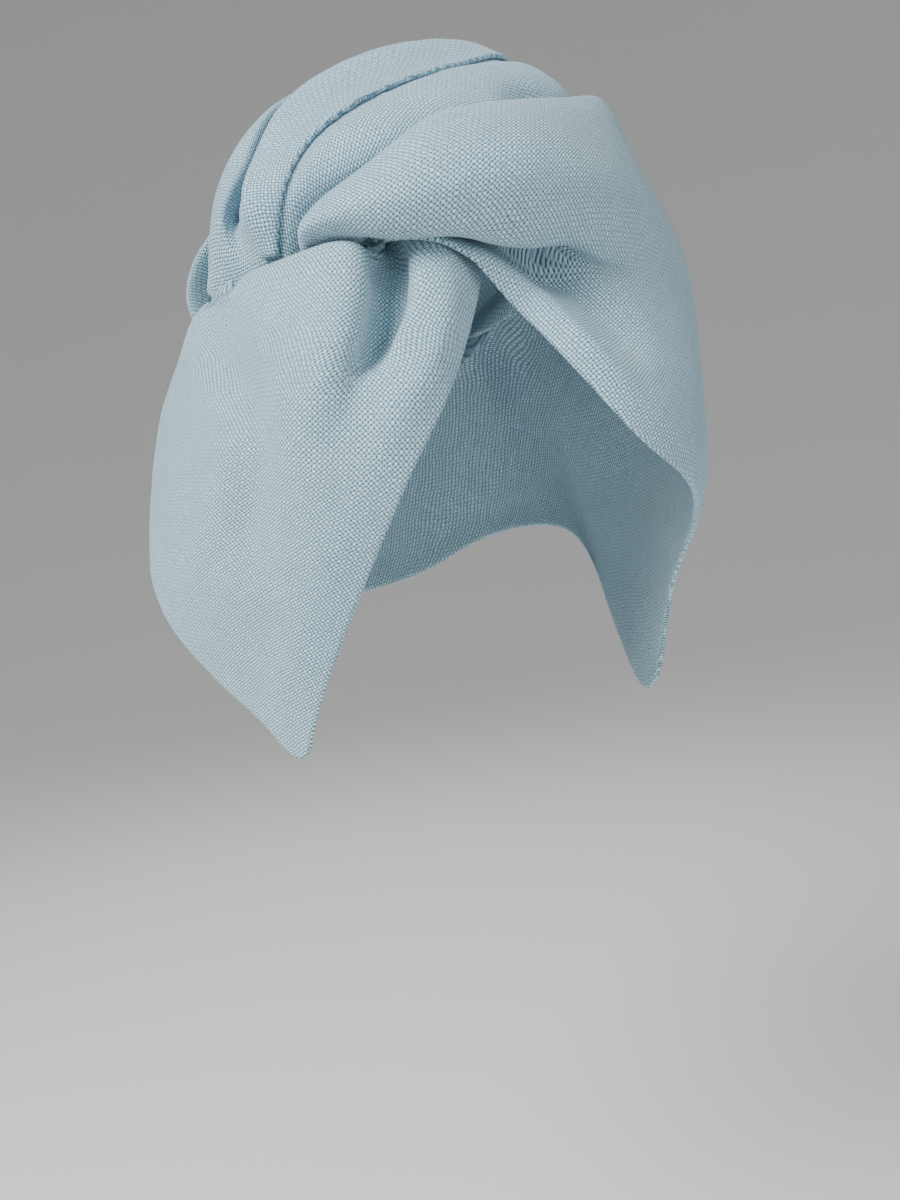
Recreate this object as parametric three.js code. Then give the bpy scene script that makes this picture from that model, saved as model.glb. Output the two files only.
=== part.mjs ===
// Hair towel wrap: a doubled linen hood, twisted over the forehead, whose pleated tail covers the
// crown and is looped over a button at the nape.
// Units are millimetres. +Z is up, the face looks towards -Y, and +X is the wearer's left.
// The tables below count from the middle of the head, between the ears. The group then moves
// everything down, so that the origin is the seat on the crown of the head.
import * as THREE from 'three';

const CLOTH = 2.0;                 // two layers of linen
const GAP = 0.3;                   // air between pieces that touch
const CROWN_SEAT = new THREE.Vector3(0, -2, 130);

const LINEN = { color: 0x9ab0b9, roughness: 0.92, metalness: 0 };
const WOOD = { color: 0xb58e62, roughness: 0.55, metalness: 0 };
const ELASTIC = { color: 0x8fa3ab, roughness: 0.85, metalness: 0 };

// Right side of the hood. Each row is a line up the cloth, from the face edge round to the seam at
// the centre back. Its columns: hem, low, belly, high, brow, shoulder, fold, inner, tuck.
const HOOD_RIGHT = {
  edge: [[-79, -10, -41], [-76, -22, -18], [-69, -47, 18], [-61, -69, 50], [-48, -77, 74],
    [-34, -73, 94], [-25, -70.5, 113], [-22, -67, 120.5], [-10, -50, 124.5]],
  band: [[-83, -3, -33], [-84, -15, -10], [-80, -40, 22], [-71, -65, 55], [-60, -77, 76],
    [-49, -80, 94], [-42, -73, 116], [-34, -60, 123], [-26, -48, 126]],
  dip: [[-88, 6, -22], [-89, -4, 0], [-87, -28, 28], [-80, -54, 58], [-72, -64, 78],
    [-61, -65, 95], [-55, -60, 114], [-50, -52, 122], [-44, -43, 124]],
  front: [[-95, 20, -8], [-97, 8, 12], [-95, -14, 36], [-90, -42, 62], [-83, -59, 80],
    [-76, -65, 98], [-66, -61, 123], [-63, -57, 118], [-62, -53, 107]],
  side: [[-102, 36, 11], [-102, 24, 28], [-100, 2, 48], [-96, -18, 70], [-93, -28, 86],
    [-89, -30, 103], [-79, -27, 124], [-77, -25.5, 118.5], [-77, -24, 106]],
  wing: [[-99, 57, 29], [-98, 54, 42], [-96, 48, 58], [-93.5, 42, 76], [-91, 36, 90],
    [-88, 29, 103], [-84, 10, 119.5], [-81.5, 10, 114.5], [-81, 10, 103]],
  rear: [[-83, 88, 27], [-84, 86, 42], [-84, 82, 58], [-82, 76, 76], [-80, 67, 92], [-77, 56, 104],
    [-78, 40, 114], [-75.5, 38.5, 109], [-75, 38.5, 98]],
  back: [[-48, 111, 12], [-50, 112, 30], [-51, 111, 48], [-51, 107, 66], [-52, 101, 82],
    [-54, 93, 96], [-54, 82, 107], [-50, 76, 105], [-48, 72, 96]],
  seam: [[-0.15, 119, 5], [-0.15, 121, 22], [-0.15, 120, 42], [-0.15, 116, 60], [-0.15, 111, 76],
    [-0.15, 105, 90], [-0.15, 96, 101], [-0.15, 89, 102], [-0.15, 83, 97]],
};

// Left panel of the hood. The rows start where it crosses over the right side and end at the seam.
// Columns: edge, rim, valley, panel, undercut. The edge is the face edge as far as the lobe row,
// and the hem after it.
const HOOD_LEFT = {
  crossing: [[-55, -66, 125], [-54, -64, 126], [-52, -62, 127], [-50, -60, 128], [-49, -60, 130]],
  apex: [[-42, -78, 120.5], [-41, -76, 122], [-39, -73, 124], [-36, -70, 126], [-35, -70, 128]],
  parting: [[-21.5, -80, 100], [-17, -82, 104], [-13, -79, 110], [-11, -76, 115], [-10, -74, 119]],
  forehead: [[-15, -96, 80], [-9, -97, 86], [0, -88, 95], [8, -84, 106], [12, -79, 114]],
  brow: [[3, -103, 56], [10, -103, 63], [22, -93, 80], [32, -84, 96], [37, -79, 108]],
  temple: [[29, -95, 41], [37, -93, 49], [49, -84, 66], [57, -76, 84], [63, -69, 98]],
  cheek: [[59, -67, 26], [66, -65, 36], [74, -58, 54], [81, -52, 72], [88, -46, 88]],
  ear: [[74, -36, 2], [80, -31, 12], [90, -22, 36], [96, -14, 60], [99, -8, 82]],
  lobe: [[79, -10, -41], [84, 2, -24], [94, 16, 10], [100, 28, 42], [101, 34, 68]],
  wing: [[96, 50, 24], [98, 54, 34], [99, 60, 48], [98, 64, 62], [95, 68, 76]],
  rear: [[82, 88, 27], [84, 88, 38], [84, 86, 50], [83, 84, 62], [81, 82, 74]],
  back: [[48, 111, 12], [50, 112, 26], [51, 111, 40], [51, 108, 56], [51, 104, 70]],
  seam: [[0.15, 119, 5], [0.15, 121, 18], [0.15, 120.5, 32], [0.15, 118, 48], [0.15, 114, 62]],
};

// The twist: the left panel's cloth, folded over itself across the forehead and tucked in behind
// the right side. Columns: undercut, lower edge, belly, high, top fold, curl, end.
const FRONT_TWIST = {
  tuck: [[-61, -37, 114], [-64, -40, 114], [-67, -39.5, 116], [-68, -36.5, 119], [-66, -34, 121],
    [-63, -33.5, 119.5], [-61, -35, 117]],
  tip: [[-63, -41, 124], [-72.5, -47.5, 127], [-75, -47.5, 129], [-74.5, -46, 131],
    [-71, -42, 132.5], [-66.5, -38.5, 131], [-63, -38, 127]],
  neck: [[-60, -52, 124], [-68.5, -60, 126.5], [-74, -61, 130], [-74, -57, 134], [-70, -50, 137.5],
    [-64, -45, 137], [-59, -43, 133]],
  crossing: [[-48, -61, 131.5], [-60, -73, 122], [-66, -79, 130], [-66, -75, 138],
    [-60, -66, 145.5], [-52, -57, 146], [-47, -53, 142]],
  apex: [[-35, -70, 128], [-42, -83, 121], [-49, -92, 133], [-48, -88, 146], [-41, -75, 158],
    [-34, -63, 157], [-32, -58, 152]],
  parting: [[-10, -74, 119], [-20, -86, 117.5], [-25, -97, 134], [-22, -92, 150], [-12, -75, 165],
    [-6, -62, 163], [-6, -58, 158]],
  forehead: [[12, -79, 114], [6, -84, 116], [3, -93, 134], [8, -85, 153], [20, -64, 172],
    [24, -52, 168], [24, -48, 162]],
  brow: [[37, -79, 108], [36, -78, 114], [36, -80, 134], [41, -70, 155], [48, -50, 179],
    [50, -38, 174], [48, -34, 168]],
  temple: [[63, -69, 98], [66, -64, 112], [67, -61, 132], [64, -51, 154], [66, -35, 179],
    [65, -24, 174], [61, -24, 167]],
  cheek: [[88, -46, 88], [92, -42, 104], [93, -36, 126], [86, -28, 149], [82, -8, 168],
    [77, -4, 164], [74, -4, 156]],
  ear: [[99, -8, 82], [100, -3, 102], [101, 3, 122], [97, 10, 142], [88, 20, 156],
    [82, 20, 153], [78, 20, 144]],
  lobe: [[101, 34, 68], [100, 40, 92], [99, 43, 112], [95, 46, 129], [86, 48, 140],
    [80, 46, 137], [77, 44, 129]],
  wing: [[95, 68, 76], [91, 71, 90], [88, 71, 104], [83, 69, 115], [76, 64, 124],
    [70, 62, 122], [68, 60, 114]],
  rear: [[81, 82, 74], [78, 80, 86], [74, 79, 97], [69, 77, 105], [63, 72, 111],
    [58, 68, 110], [56, 66, 103]],
  back: [[51, 104, 70], [52, 98, 84], [52, 94, 93], [50, 89, 101], [47, 83, 106],
    [44, 78, 104], [42, 75, 98]],
  seam: [[0.15, 114, 62], [0.15, 109, 76], [0.15, 105, 86], [0.15, 101, 94], [0.15, 95, 101],
    [0.15, 88, 102], [0.15, 83, 97]],
};

// The tail. Each row is a fold, followed from its tuck behind the right side, over the crown and
// down to the nape; the first lies under the twist and the last is the free edge at the right back.
// Columns: tuck, ring, low, mid, high, top, over, upper, back, low back, nape.
const CROWN_TAIL = {
  under: [[-60, -24, 108], [-62, -28, 121], [-60, -39, 134], [-42.5, -48, 142.5],
    [-22, -52, 153.5], [14, -47.5, 158], [42.7, -33.5, 164.3], [71, -5.6, 153],
    [67, 49, 131], [55.3, 90.2, 102.3], [13, 125, 38]],
  dimple: [[-65, -26, 108], [-67.5, -31, 124], [-65.5, -42, 140], [-52.9, -57.6, 149.8],
    [-25.8, -62, 162.2], [12.5, -56.9, 170.3], [44.6, -40.5, 176.7], [73, -3.9, 164.3],
    [76.7, 43.8, 138], [59.3, 88.9, 104.8], [12, 126, 36]],
  belly: [[-68, -26, 108], [-72, -31, 126], [-72, -41, 143], [-61, -49, 159], [-33, -49, 175],
    [8, -40, 190], [53, -20, 195], [74, 16, 166], [74, 54, 138], [52, 102, 100], [10, 127, 35]],
  lip: [[-69, -24, 108], [-74, -29, 127], [-75, -37, 143], [-67, -38.5, 157], [-41.2, -34, 175.5],
    [5.6, -22, 195], [43.6, -7, 205], [70, 36, 172], [64, 74, 138], [42, 111, 93], [8, 127, 34]],
  band: [[-70, -20, 108], [-75.5, -22, 128], [-82, -26, 143], [-74, -22.5, 158],
    [-53.2, -15, 182.5], [-3.4, -8, 206], [38.6, 0, 209], [64, 44, 178], [56, 84, 140],
    [36, 115, 92], [6, 127.5, 34]],
  pocket: [[-70, -13, 108], [-73, -15, 127], [-74, -13, 144], [-67, -11, 159], [-46.2, -4, 180.5],
    [-4.4, 4, 200], [33.6, 18, 202], [54, 56, 174], [46, 90, 138], [30, 116, 91], [4, 127.5, 34]],
  outer: [[-76, 4, 108], [-81, 9, 125], [-82, 1, 144], [-74, 2, 163], [-50.2, 10, 186.5],
    [-10.4, 20, 203], [25.6, 40, 200], [44, 72, 174], [37, 100, 136], [23, 120, 88], [2, 128, 34]],
  gap: [[-73, 12, 106], [-75, 17, 121], [-74, 14, 140], [-66, 15, 158], [-48, 25, 180.5],
    [-16, 40, 191], [12, 60, 184], [26, 87, 158], [22, 106, 124], [12, 120, 84], [-1, 127.5, 34]],
  strip: [[-74, 27, 104], [-81, 30.4, 125], [-76.2, 30, 140], [-60.5, 35, 162], [-45.5, 51.5, 174],
    [-24, 72, 174], [-5, 92, 160], [6, 108, 134], [8, 118, 106], [4, 124, 76], [-4, 128, 34]],
  fall: [[-70, 34, 102], [-74, 41, 116], [-71, 46, 130], [-62.5, 61.5, 140.5], [-52, 80, 140],
    [-41, 96.5, 130.5], [-28, 108, 114], [-17, 118, 96], [-9, 123, 78], [-6, 127, 58], [-8, 128, 35]],
  rear: [[-67, 41, 100], [-69.6, 48, 111.4], [-71.1, 60, 113.8], [-63.1, 75.2, 111.2],
    [-55.7, 88.5, 105.7], [-47.4, 100, 95.3], [-41.2, 108.2, 81.2], [-31.6, 114.2, 68.1],
    [-22.4, 118, 57.1], [-18, 120.6, 45.8], [-13.7, 124.4, 37.3]],
};

// Rows (folds) and columns of the tail that the raised seam allowance, or welt, lies on.
const WELT = { fromFold: 3, toFold: 4, fromColumn: 1, toColumn: 9, thickness: 2.2 };

const BUTTON = { x: 0, z: 20, radius: 10, disc: 3.6, dome: 1.0, backBevel: 1, faceBevel: 1.2,
  shankRadius: 2.5 };
const NAPE_FACE = 121.1;            // outer face of the hood where the button is sewn on
const LOOP = { radius: 1.2, halfWidth: 5, topZ: 44, topY: 122.4, spreadZ: 32 };
const ROUND_SHANK = { across: 0.7, down: 0.75 };   // shares of the bend's radius, on its way round

// A point at a real-numbered place between the rows of a list of points.
function curveThrough(points) {
  return new THREE.CatmullRomCurve3(points, false, 'centripetal');
}

// Samples the surface through a table's rows. stations and columns are lists of real-numbered
// places, so 1.5 is halfway between the second and the third row or column.
function surface(rows, stations, columns) {
  const alongRows = rows[0].map((_, column) =>
    curveThrough(rows.map((row) => new THREE.Vector3(...row[column]))));
  return stations.map((station) => {
    const line = curveThrough(alongRows.map((curve) => curve.getPoint(station / (rows.length - 1))));
    return columns.map((column) => line.getPoint(column / (alongRows.length - 1)));
  });
}

function steps(from, to, perSpan) {
  const count = Math.round((to - from) * perSpan);
  return Array.from({ length: count + 1 }, (_, i) => from + (to - from) * i / count);
}

// The surface through a whole table, with so many steps from one row or column to the next.
function sheet(table, perRow, perColumn) {
  const rows = Object.values(table);
  return surface(rows, steps(0, rows.length - 1, perRow), steps(0, rows[0].length - 1, perColumn));
}

function gridNormals(grid) {
  const last = grid.length - 1;
  const end = grid[0].length - 1;
  return grid.map((line, i) => line.map((_, j) => {
    const along = grid[Math.min(i + 1, last)][j].clone().sub(grid[Math.max(i - 1, 0)][j]);
    const across = line[Math.min(j + 1, end)].clone().sub(line[Math.max(j - 1, 0)]);
    return along.cross(across).normalize();
  }));
}

// Closes a sheet of cloth into a solid wall between two heights above the sheet. Positive is
// outwards, towards side times the grid's own normal.
function clothWall(grid, normals, side, outside, inside) {
  const rows = grid.length;
  const columns = grid[0].length;
  const positions = [];
  for (const height of [outside, inside]) {
    grid.forEach((line, i) => line.forEach((point, j) => {
      const moved = point.clone().addScaledVector(normals[i][j], side * height);
      positions.push(moved.x, moved.y, moved.z);
    }));
  }
  const outer = (i, j) => i * columns + j;
  const inner = (i, j) => rows * columns + i * columns + j;
  const faces = [];
  const quad = (a, b, c, d) => {
    if (side > 0) faces.push(a, b, c, a, c, d);
    else faces.push(a, c, b, a, d, c);
  };
  for (let i = 0; i < rows - 1; i += 1) {
    for (let j = 0; j < columns - 1; j += 1) {
      quad(outer(i, j), outer(i + 1, j), outer(i + 1, j + 1), outer(i, j + 1));
      quad(inner(i, j), inner(i, j + 1), inner(i + 1, j + 1), inner(i + 1, j));
    }
    const end = columns - 1;
    quad(outer(i, 0), inner(i, 0), inner(i + 1, 0), outer(i + 1, 0));
    quad(outer(i, end), outer(i + 1, end), inner(i + 1, end), inner(i, end));
  }
  for (let j = 0; j < columns - 1; j += 1) {
    const last = rows - 1;
    quad(outer(0, j), outer(0, j + 1), inner(0, j + 1), inner(0, j));
    quad(outer(last, j), inner(last, j), inner(last, j + 1), outer(last, j + 1));
  }
  const geometry = new THREE.BufferGeometry();
  geometry.setAttribute('position', new THREE.Float32BufferAttribute(positions, 3));
  geometry.setIndex(faces);
  geometry.computeVertexNormals();
  return geometry;
}

// Keeps the end of a sheet flat at the centre back, where its last line meets the other side.
function meetAtCentreBack(normals) {
  normals[normals.length - 1].forEach((normal) => normal.setX(0).normalize());
}

// Draws one border of a sheet back by a distance, to leave a gap at the cloth next to it.
function drawBack(grid, column, neighbour, distance) {
  for (const line of grid) {
    const inwards = line[neighbour].clone().sub(line[column]).setLength(distance);
    line[column].add(inwards);
  }
}

function piece(name, geometry, finish) {
  const mesh = new THREE.Mesh(geometry, new THREE.MeshStandardMaterial(finish));
  mesh.name = name;
  return mesh;
}

function hoodRight() {
  const grid = sheet(HOOD_RIGHT, 3, 2);
  const normals = gridNormals(grid);
  meetAtCentreBack(normals);
  return piece('hood_right', clothWall(grid, normals, -1, 0, -CLOTH), LINEN);
}

function hoodLeft() {
  const grid = sheet(HOOD_LEFT, 2, 2.5);
  drawBack(grid, grid[0].length - 1, grid[0].length - 2, GAP);
  const normals = gridNormals(grid);
  meetAtCentreBack(normals);
  return piece('hood_left', clothWall(grid, normals, 1, 0, -CLOTH), LINEN);
}

function frontTwist() {
  const grid = sheet(FRONT_TWIST, 2, 3);
  drawBack(grid, 0, 1, GAP);
  const normals = gridNormals(grid);
  meetAtCentreBack(normals);
  return piece('front_twist', clothWall(grid, normals, 1, 0, -CLOTH), LINEN);
}

// The tail, and the welt that lies on its facets between two of its folds.
function tailWithWelt() {
  const perFold = 3;
  const perColumn = 2;
  const grid = sheet(CROWN_TAIL, perFold, perColumn);
  const normals = gridNormals(grid);
  const underWelt = (lines) => lines
    .slice(WELT.fromFold * perFold, WELT.toFold * perFold + 1)
    .map((line) => line.slice(WELT.fromColumn * perColumn, WELT.toColumn * perColumn + 1));
  const welt = clothWall(underWelt(grid), underWelt(normals), -1, GAP + WELT.thickness, GAP);
  return [
    piece('crown_tail', clothWall(grid, normals, -1, 0, -CLOTH), LINEN),
    piece('tail_welt', welt, LINEN),
  ];
}

function napeButton() {
  const { radius, disc, dome, backBevel, faceBevel, shankRadius } = BUTTON;
  const shank = GAP + 2 * LOOP.radius + GAP;
  const profile = [
    [0, GAP], [shankRadius, GAP], [shankRadius, shank], [radius - backBevel, shank],
    [radius, shank + backBevel], [radius, shank + disc - faceBevel],
    [radius - faceBevel, shank + disc],
    [radius / 2, shank + disc - dome / 2], [0, shank + disc - dome],
  ].map(([r, height]) => new THREE.Vector2(r, height));
  const button = piece('nape_button', new THREE.LatheGeometry(profile, 40), WOOD);
  button.position.set(BUTTON.x, NAPE_FACE, BUTTON.z);
  return button;
}

function buttonLoop() {
  const { radius, halfWidth, topZ, topY, spreadZ } = LOOP;
  const { across, down } = ROUND_SHANK;
  const faceY = NAPE_FACE + GAP + radius;
  const turn = BUTTON.shankRadius + 2 * GAP + radius;
  const path = curveThrough([
    new THREE.Vector3(-halfWidth, topY, topZ),
    new THREE.Vector3(-halfWidth, faceY, spreadZ),
    new THREE.Vector3(-turn, faceY, BUTTON.z),
    new THREE.Vector3(-turn * across, faceY, BUTTON.z - turn * down),
    new THREE.Vector3(0, faceY, BUTTON.z - turn),
    new THREE.Vector3(turn * across, faceY, BUTTON.z - turn * down),
    new THREE.Vector3(turn, faceY, BUTTON.z),
    new THREE.Vector3(halfWidth, faceY, spreadZ),
    new THREE.Vector3(halfWidth, topY, topZ),
  ]);
  const section = new THREE.Shape().absarc(0, 0, radius, 0, 2 * Math.PI);
  const cord = { steps: 40, curveSegments: 5, bevelEnabled: false, extrudePath: path };
  return piece('button_loop', new THREE.ExtrudeGeometry(section, cord), ELASTIC);
}

const wrap = new THREE.Group();
wrap.position.copy(CROWN_SEAT).negate();
wrap.add(hoodRight(), hoodLeft(), frontTwist(), ...tailWithWelt(), napeButton(), buttonLoop());

const group = new THREE.Group();
group.add(wrap);

export default group;
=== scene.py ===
import math

import bpy
import numpy as np
from mathutils import Matrix, Vector, noise


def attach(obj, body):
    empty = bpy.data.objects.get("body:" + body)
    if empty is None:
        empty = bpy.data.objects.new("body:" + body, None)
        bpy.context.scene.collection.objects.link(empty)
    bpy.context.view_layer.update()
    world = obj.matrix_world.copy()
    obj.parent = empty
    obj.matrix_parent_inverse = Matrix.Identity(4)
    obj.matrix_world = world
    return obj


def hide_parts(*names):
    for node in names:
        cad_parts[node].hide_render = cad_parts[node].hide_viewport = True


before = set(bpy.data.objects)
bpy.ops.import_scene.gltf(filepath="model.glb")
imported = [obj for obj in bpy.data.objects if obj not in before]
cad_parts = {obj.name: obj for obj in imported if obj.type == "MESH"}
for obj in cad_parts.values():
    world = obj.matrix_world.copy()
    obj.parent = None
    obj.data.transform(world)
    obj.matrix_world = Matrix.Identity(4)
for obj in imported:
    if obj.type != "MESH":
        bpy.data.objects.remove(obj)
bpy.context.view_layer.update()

scene = bpy.context.scene

# The tables below are in millimetres from the middle of the head, between the ears.
CROWN_SEAT = np.array([0.0, -2.0, 130.0])   # the frame's origin in those coordinates
MM = 0.001
FLAT_UNIT = 100.0         # millimetres of cloth in one unit of the UV map 'cloth'
FOCAL_LENGTH = 37.5       # millimetres, like the sensor's width
SENSOR_WIDTH = 36.0
INWARD, OUTWARD = -1, 1   # whether a grid's outer face lies against its normals or along them


def placed(points):
    """Table millimetres to the frame's metres."""
    return (np.asarray(points, float) - CROWN_SEAT) * MM


# ---------------------------------------------------------------- camera

def make_camera(azimuth=-33.0, elevation=4.0, roll=-6.9, distance=471.0, across=6.0, up=-6.4):
    """Angles are in degrees. The distance to the middle of the head, and how far right of and
    above the middle of the picture it lies, are in millimetres."""
    a, e, r = np.radians([azimuth, elevation, roll])
    back = np.array([np.sin(a) * np.cos(e), -np.cos(a) * np.cos(e), np.sin(e)])
    level = np.cross([0.0, 0.0, 1.0], back)
    level /= np.linalg.norm(level)
    over = np.cross(back, level)
    x_axis = np.cos(r) * level + np.sin(r) * over
    y_axis = -np.sin(r) * level + np.cos(r) * over
    place = placed(back * distance - x_axis * across - y_axis * up)
    data = bpy.data.cameras.new("camera")
    data.lens = FOCAL_LENGTH
    data.sensor_width = SENSOR_WIDTH
    camera = bpy.data.objects.new("camera", data)
    scene.collection.objects.link(camera)
    turn = Matrix([x_axis, y_axis, back]).transposed().to_4x4()
    camera.matrix_world = Matrix.Translation(Vector(place)) @ turn
    scene.camera = camera


make_camera()

# ---------------------------------------------------------------- tables

HOOD_RIGHT = {
    "edge": [[-79, -10, -41], [-76, -22, -18], [-69, -47, 18], [-61, -69, 50], [-48, -77, 74],
        [-34, -73, 94], [-25, -70.5, 113], [-22, -67, 120.5], [-10, -50, 124.5]],
    "band": [[-83, -3, -33], [-84, -15, -10], [-80, -40, 22], [-71, -65, 55], [-60, -77, 76],
        [-49, -80, 94], [-41.5, -75, 117.5], [-41, -66, 126], [-35, -54, 129]],
    "dip": [[-88, 6, -22], [-89, -4, 0], [-87, -28, 28], [-80, -54, 58], [-72, -64, 78],
        [-61, -66, 95], [-54, -62, 119], [-49, -54, 126], [-44, -46, 127]],
    "front": [[-95, 20, -8], [-97, 8, 12], [-95, -14, 36], [-90, -42, 62], [-83, -59, 80],
        [-76, -65, 98], [-66, -61, 123], [-63, -57, 118], [-62, -53, 107]],
    "side": [[-102, 36, 11], [-102, 24, 28], [-100, 2, 48], [-96, -18, 70], [-93, -28, 86],
        [-89, -30, 103], [-79, -27, 124], [-77, -25.5, 118.5], [-77, -24, 106]],
    "wing": [[-99, 57, 29], [-98, 54, 42], [-96, 48, 58], [-93.5, 42, 76], [-91, 36, 90],
        [-88, 29, 103], [-84, 10, 119.5], [-81.5, 10, 114.5], [-81, 10, 103]],
    "rear": [[-83, 88, 27], [-84, 86, 42], [-84, 82, 58], [-82, 76, 76], [-80, 67, 92], [-77, 56, 104],
        [-78, 40, 114], [-75.5, 38.5, 109], [-75, 38.5, 98]],
    "back": [[-48, 111, 12], [-50, 112, 30], [-51, 111, 48], [-51, 107, 66], [-52, 101, 82],
        [-54, 93, 96], [-54, 82, 107], [-50, 76, 105], [-48, 72, 96]],
    "seam": [[-0.15, 119, 5], [-0.15, 121, 22], [-0.15, 120, 42], [-0.15, 116, 60], [-0.15, 111, 76],
        [-0.15, 105, 90], [-0.15, 96, 101], [-0.15, 89, 102], [-0.15, 83, 97]],
}

HOOD_LEFT = {
    "crossing": [[-55, -66, 125], [-54, -64, 126], [-52, -62, 127], [-50, -60, 128], [-49, -60, 130]],
    "apex": [[-42, -78, 120.5], [-41, -76, 122], [-39, -73, 124], [-36, -70, 126], [-35, -70, 128]],
    "parting": [[-21.5, -80, 100], [-17, -82, 104], [-13, -79, 110], [-11, -76, 115], [-10, -74, 119]],
    "forehead": [[-15, -96, 80], [-9, -97, 86], [0, -88, 95], [8, -84, 106], [12, -79, 114]],
    "brow": [[3, -103, 56], [10, -103, 63], [22, -93, 80], [32, -84, 96], [37, -79, 108]],
    "temple": [[29, -95, 41], [37, -93, 49], [49, -84, 66], [57, -76, 84], [63, -69, 98]],
    "cheek": [[59, -67, 26], [66, -65, 36], [74, -58, 54], [81, -52, 72], [88, -46, 88]],
    "ear": [[74, -36, 2], [80, -31, 12], [90, -22, 36], [96, -14, 60], [99, -8, 82]],
    "lobe": [[79, -10, -41], [84, 2, -24], [94, 16, 10], [100, 28, 42], [101, 34, 68]],
    "wing": [[96, 50, 24], [98, 54, 34], [99, 60, 48], [98, 64, 62], [95, 68, 76]],
    "rear": [[82, 88, 27], [84, 88, 38], [84, 86, 50], [83, 84, 62], [81, 82, 74]],
    "back": [[48, 111, 12], [50, 112, 26], [51, 111, 40], [51, 108, 56], [51, 104, 70]],
    "seam": [[0.15, 119, 5], [0.15, 121, 18], [0.15, 120.5, 32], [0.15, 118, 48], [0.15, 114, 62]],
}

FRONT_TWIST = {
    "tuck": [[-61, -37, 114], [-64, -40, 114], [-67, -39.5, 116], [-68, -36.5, 119], [-66, -34, 121],
        [-63, -33.5, 119.5], [-61, -35, 117]],
    "tip": [[-63, -41, 124], [-72.5, -47.5, 127], [-75, -47.5, 129], [-74.5, -46, 131],
        [-71, -42, 132.5], [-66.5, -38.5, 131], [-63, -38, 127]],
    "neck": [[-60, -52, 124], [-68.5, -60, 126.5], [-74, -61, 130], [-74, -57, 134], [-70, -50, 137.5],
        [-64, -45, 137], [-59, -43, 133]],
    "crossing": [[-48, -61, 131.5], [-60, -73, 122], [-66, -79, 130], [-66, -75, 138],
        [-60, -66, 145.5], [-52, -57, 146], [-47, -53, 142]],
    "apex": [[-35, -70, 128], [-42, -83, 121], [-49, -92, 133], [-48, -88, 146], [-41, -75, 158],
        [-34, -63, 157], [-32, -58, 152]],
    "parting": [[-10, -74, 119], [-20, -86, 117.5], [-25, -97, 134], [-22, -92, 150], [-12, -75, 165],
        [-6, -62, 163], [-6, -58, 158]],
    "forehead": [[12, -79, 114], [6, -84, 116], [3, -93, 134], [8, -85, 153], [20, -64, 172],
        [24, -52, 168], [24, -48, 162]],
    "brow": [[37, -79, 108], [36, -78, 114], [36, -80, 134], [41, -70, 155], [48, -50, 179],
        [50, -38, 174], [48, -34, 168]],
    "temple": [[63, -69, 98], [66, -64, 112], [67, -61, 132], [64, -51, 154], [66, -35, 179],
        [65, -24, 174], [61, -24, 167]],
    "cheek": [[88, -46, 88], [92, -42, 104], [93, -36, 126], [86, -28, 149], [82, -8, 168],
        [77, -4, 164], [74, -4, 156]],
    "ear": [[99, -8, 82], [100, -3, 102], [101, 3, 122], [97, 10, 142], [88, 20, 156],
        [82, 20, 153], [78, 20, 144]],
    "lobe": [[101, 34, 68], [100, 40, 92], [99, 43, 112], [95, 46, 129], [86, 48, 140],
        [80, 46, 137], [77, 44, 129]],
    "wing": [[95, 68, 76], [91, 71, 90], [88, 71, 104], [83, 69, 115], [76, 64, 124],
        [70, 62, 122], [68, 60, 114]],
    "rear": [[81, 82, 74], [78, 80, 86], [74, 79, 97], [69, 77, 105], [63, 72, 111],
        [58, 68, 110], [56, 66, 103]],
    "back": [[51, 104, 70], [52, 98, 84], [52, 94, 93], [50, 89, 101], [47, 83, 106],
        [44, 78, 104], [42, 75, 98]],
    "seam": [[0.15, 114, 62], [0.15, 109, 76], [0.15, 105, 86], [0.15, 101, 94], [0.15, 95, 101],
        [0.15, 88, 102], [0.15, 83, 97]],
}

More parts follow.
